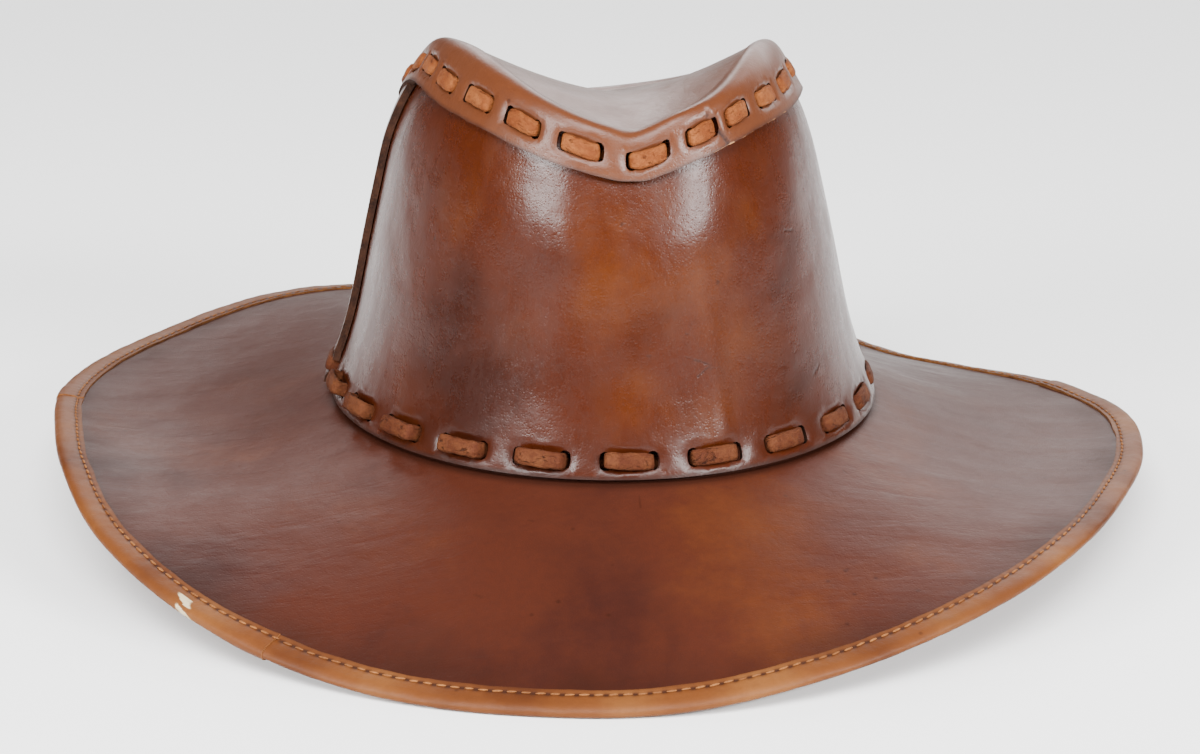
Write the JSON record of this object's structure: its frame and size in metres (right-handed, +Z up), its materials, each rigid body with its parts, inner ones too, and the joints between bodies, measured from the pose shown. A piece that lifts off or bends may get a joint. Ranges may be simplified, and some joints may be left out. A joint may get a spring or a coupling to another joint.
{
  "type": "leather hat",
  "caption": "Wide-brimmed leather hat with a creased, laced crown, a bound and rolled brim, and an open head space.",
  "frame": {"origin": "middle of the hat's outline in plan, on the surface that its brim stands on", "axes": "+Z up, -Y towards the front of the hat, +X towards the wearer's left"},
  "size_m": [0.358, 0.3838, 0.1551],
  "materials": {
    "crown_leather": "glossy pulled-up leather, red-brown with orange patches and dark rubbed zones",
    "brim_leather": "satin purple-brown leather with soft creases",
    "binding_leather": "satin tan leather strip with a stitched inner edge",
    "lace_leather": "matt orange-tan rough leather"
  },
  "bodies": {
    "root": {"brim": "brim_leather", "crown_wall": "crown_leather", "crown_tip": "crown_leather", "lace_base": "lace_leather", "lace_top": "lace_leather", "binding_left": "binding_leather", "binding_front": "binding_leather", "binding_back": "binding_leather"}
  },
  "joints": []
}
